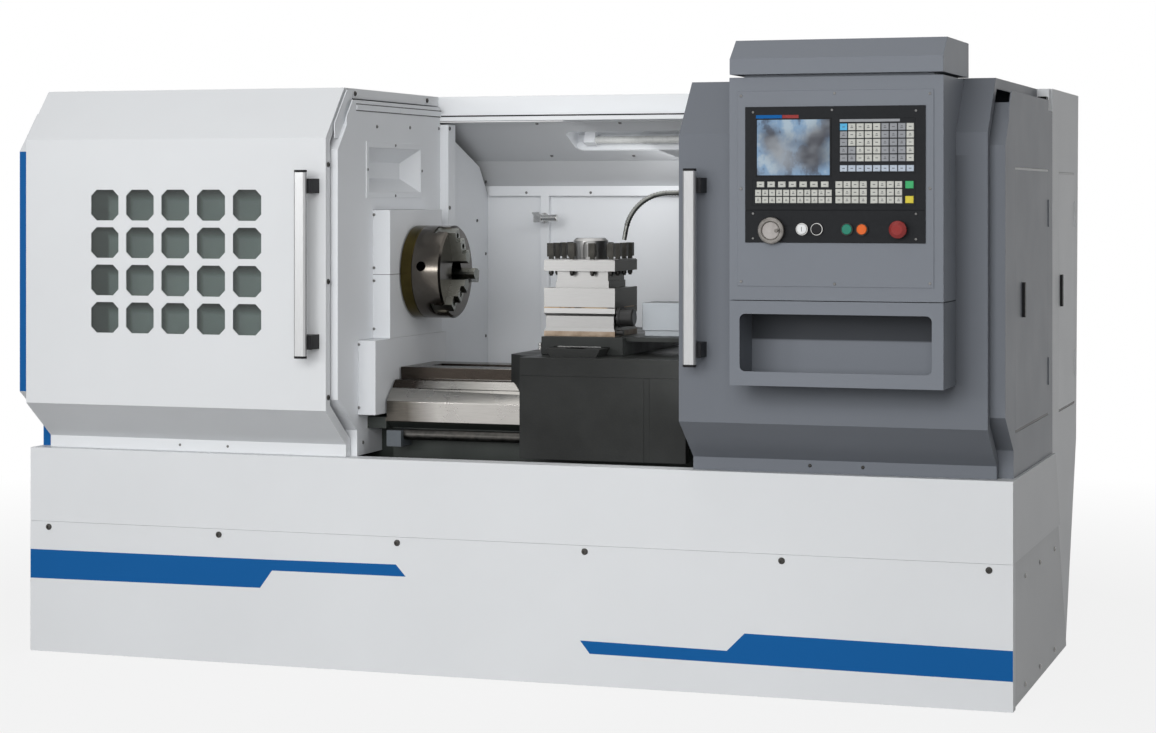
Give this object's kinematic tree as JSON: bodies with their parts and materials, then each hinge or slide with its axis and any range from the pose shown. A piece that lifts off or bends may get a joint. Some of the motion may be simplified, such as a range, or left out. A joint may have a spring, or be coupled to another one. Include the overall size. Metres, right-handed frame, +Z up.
{
  "type": "cnc turning lathe",
  "caption": "Enclosed computer-controlled turning lathe with sliding front doors, swivelling tool turret, jaw chuck, tailstock and door-mounted operator panel.",
  "frame": {"origin": "centre of the machine's footprint box, at floor level", "axes": "+X along the spindle from the headstock end to the tailstock end, +Y from the operator to the rear, +Z up"},
  "size_m": [3, 1.728, 1.808],
  "materials": {
    "white_paint": "satin",
    "grey_paint": "satin",
    "blue_paint": "satin",
    "bed_iron": "ground",
    "machine_paint": "satin",
    "plate_aluminium": "brushed",
    "panel_plastic": "matt",
    "screen_glass": "polished",
    "pane_glass": "polished",
    "chuck_steel": "machined",
    "bright_steel": "ground",
    "tap_chrome": "polished",
    "belt_rubber": "matt",
    "red_button": "gloss",
    "white_button": "gloss",
    "dark_button": "gloss",
    "green_button": "gloss",
    "orange_button": "gloss",
    "tube_glass": "satin",
    "fasteners": "satin"
  },
  "bodies": {
    "machine": {"bed_casting": "bed_iron", "pedestals": "machine_paint", "chip_tray": "white_paint", "front_base_panel": "white_paint", "side_base_panels": "white_paint", "headstock_housing": "machine_paint", "headstock_covers": "white_paint", "left_guard": "white_paint", "left_end_guard": "blue_paint", "right_guard": "grey_paint", "rear_guard": "white_paint", "top_rail": "white_paint", "work_lamp": "white_paint", "lamp_tube": "tube_glass", "wall_tap": "tap_chrome", "electrical_cabinet": "white_paint", "main_motor": "machine_paint", "z_axis_motor": "machine_paint", "coolant_unit": "machine_paint", "drive_belts": "belt_rubber"},
    "left_door": {"left_door_panel": "white_paint", "left_door_pane": "pane_glass", "left_door_handle": "plate_aluminium"},
    "right_door": {"right_door_panel": "grey_paint", "right_door_handle": "plate_aluminium", "control_box": "grey_paint", "control_box_cap": "grey_paint", "storage_box": "grey_paint", "control_front_plate": "grey_paint", "operator_panel": "panel_plastic", "screen": "screen_glass"},
    "pulse_dial": {"pulse_handwheel": "panel_plastic"},
    "stop_button": {"emergency_stop": "red_button"},
    "start_key": {"start_button": "white_button"},
    "hold_key": {"hold_button": "dark_button"},
    "power_on_key": {"power_on_button": "green_button"},
    "power_off_key": {"power_off_button": "orange_button"},
    "service_lid": {"service_door": "grey_paint"},
    "service_handle": {"service_latch": "panel_plastic"},
    "cabinet_lid": {"cabinet_door": "white_paint"},
    "cabinet_handle": {"cabinet_latch": "panel_plastic"},
    "spindle_unit": {"spindle": "chuck_steel", "chuck_body": "chuck_steel"},
    "jaw_a": {"jaw_1": "chuck_steel"},
    "jaw_b": {"jaw_2": "chuck_steel"},
    "jaw_c": {"jaw_3": "chuck_steel"},
    "motor_shaft": {"motor_pulley": "bright_steel"},
    "carriage": {"saddle": "machine_paint", "apron_cover": "machine_paint", "coolant_pipe": "bright_steel", "x_axis_motor": "machine_paint"},
    "long_screw": {"z_screw": "bright_steel"},
    "cross_carriage": {"cross_slide": "machine_paint", "turret_base": "chuck_steel"},
    "cross_screw": {"x_screw": "bright_steel"},
    "turret": {"tool_head": "chuck_steel"},
    "tailstock": {"tailstock_body": "machine_paint"},
    "quill": {"tailstock_quill": "bright_steel"},
    "quill_wheel": {"tailstock_handwheel": "bright_steel"}
  },
  "joints": [
    {"name": "left_door_slide", "type": "slide", "parent": "machine", "child": "left_door", "axis": [1, 0, 0], "range_m": [0, 0.52]},
    {"name": "right_door_slide", "type": "slide", "parent": "machine", "child": "right_door", "axis": [-1, 0, 0], "range_m": [0, 0.52]},
    {"name": "pulse_dial_turn", "type": "hinge", "parent": "right_door", "child": "pulse_dial", "pos_m": [0.909, -0.833, 1.3], "axis": [0, 1, 0], "continuous": true},
    {"name": "emergency_stop_press", "type": "slide", "parent": "right_door", "child": "stop_button", "axis": [0, 1, 0], "range_m": [0, 0.006]},
    {"name": "start_press", "type": "slide", "parent": "right_door", "child": "start_key", "axis": [0, 1, 0], "range_m": [0, 0.004], "stiffness_N_per_m": 400},
    {"name": "hold_press", "type": "slide", "parent": "right_door", "child": "hold_key", "axis": [0, 1, 0], "range_m": [0, 0.004], "stiffness_N_per_m": 400},
    {"name": "power_on_press", "type": "slide", "parent": "right_door", "child": "power_on_key", "axis": [0, 1, 0], "range_m": [0, 0.004], "stiffness_N_per_m": 400},
    {"name": "power_off_press", "type": "slide", "parent": "right_door", "child": "power_off_key", "axis": [0, 1, 0], "range_m": [0, 0.004], "stiffness_N_per_m": 400},
    {"name": "service_door_swing", "type": "hinge", "parent": "machine", "child": "service_lid", "pos_m": [1.49, 0.184, 1.104], "axis": [0, 0, 1], "range_deg": [0, 100]},
    {"name": "service_latch_turn", "type": "hinge", "parent": "service_lid", "child": "service_handle", "pos_m": [1.49, -0.304, 1.104], "axis": [1, 0, 0], "range_deg": [0, 90]},
    {"name": "cabinet_door_swing", "type": "hinge", "parent": "machine", "child": "cabinet_lid", "pos_m": [1.49, 0.766, 1.104], "axis": [0, 0, 1], "range_deg": [0, 110]},
    {"name": "cabinet_latch_turn", "type": "hinge", "parent": "cabinet_lid", "child": "cabinet_handle", "pos_m": [1.49, 0.448, 1.104], "axis": [1, 0, 0], "range_deg": [0, 90]},
    {"name": "spindle_turn", "type": "hinge", "parent": "machine", "child": "spindle_unit", "pos_m": [-1.44, -0.136, 1.161], "axis": [1, 0, 0], "continuous": true},
    {"name": "motor_turn", "type": "hinge", "parent": "machine", "child": "motor_shaft", "pos_m": [-1.39, 0.324, 0.235], "axis": [1, 0, 0], "continuous": true},
    {"name": "jaw_1_slide", "type": "slide", "parent": "spindle_unit", "child": "jaw_a", "axis": [0, -0.3746, 0.9272], "range_m": [-0.01, 0.018]},
    {"name": "jaw_2_slide", "type": "slide", "parent": "spindle_unit", "child": "jaw_b", "axis": [0, -0.6157, -0.788], "range_m": [-0.01, 0.018]},
    {"name": "jaw_3_slide", "type": "slide", "parent": "spindle_unit", "child": "jaw_c", "axis": [0, 0.9903, -0.1392], "range_m": [-0.01, 0.018]},
    {"name": "carriage_slide", "type": "slide", "parent": "machine", "child": "carriage", "axis": [1, 0, 0], "range_m": [-0.19, 0.22]},
    {"name": "long_screw_turn", "type": "hinge", "parent": "machine", "child": "long_screw", "pos_m": [-0.385, -0.386, 0.685], "axis": [1, 0, 0], "range_deg": [-6841, 7921]},
    {"name": "cross_slide_travel", "type": "slide", "parent": "carriage", "child": "cross_carriage", "axis": [0, 1, 0], "range_m": [-0.2, 0.2]},
    {"name": "cross_screw_turn", "type": "hinge", "parent": "carriage", "child": "cross_screw", "pos_m": [0.204, -0.458, 0.9], "axis": [0, 1, 0], "range_deg": [-12001, 12001]},
    {"name": "turret_index", "type": "hinge", "parent": "cross_carriage", "child": "turret", "pos_m": [0.187, -0.176, 1.065], "axis": [0, 0, 1], "continuous": true},
    {"name": "tailstock_slide", "type": "slide", "parent": "machine", "child": "tailstock", "axis": [1, 0, 0], "range_m": [-0.09, 0]},
    {"name": "quill_slide", "type": "slide", "parent": "tailstock", "child": "quill", "axis": [-1, 0, 0], "range_m": [0, 0.12]},
    {"name": "quill_wheel_turn", "type": "hinge", "parent": "tailstock", "child": "quill_wheel", "pos_m": [1.22, -0.136, 1.161], "axis": [1, 0, 0], "range_deg": [0, 8641]}
  ],
  "couplings": [
    {"joint": "motor_turn", "follows": "spindle_turn", "ratio": 1.9167},
    {"joint": "jaw_2_slide", "follows": "jaw_1_slide", "ratio": 1},
    {"joint": "jaw_3_slide", "follows": "jaw_1_slide", "ratio": 1},
    {"joint": "long_screw_turn", "follows": "carriage_slide", "rad_per_m": 628.32},
    {"joint": "cross_screw_turn", "follows": "cross_slide_travel", "rad_per_m": 1047.2},
    {"joint": "quill_wheel_turn", "follows": "quill_slide", "rad_per_m": 1256.6}
  ]
}
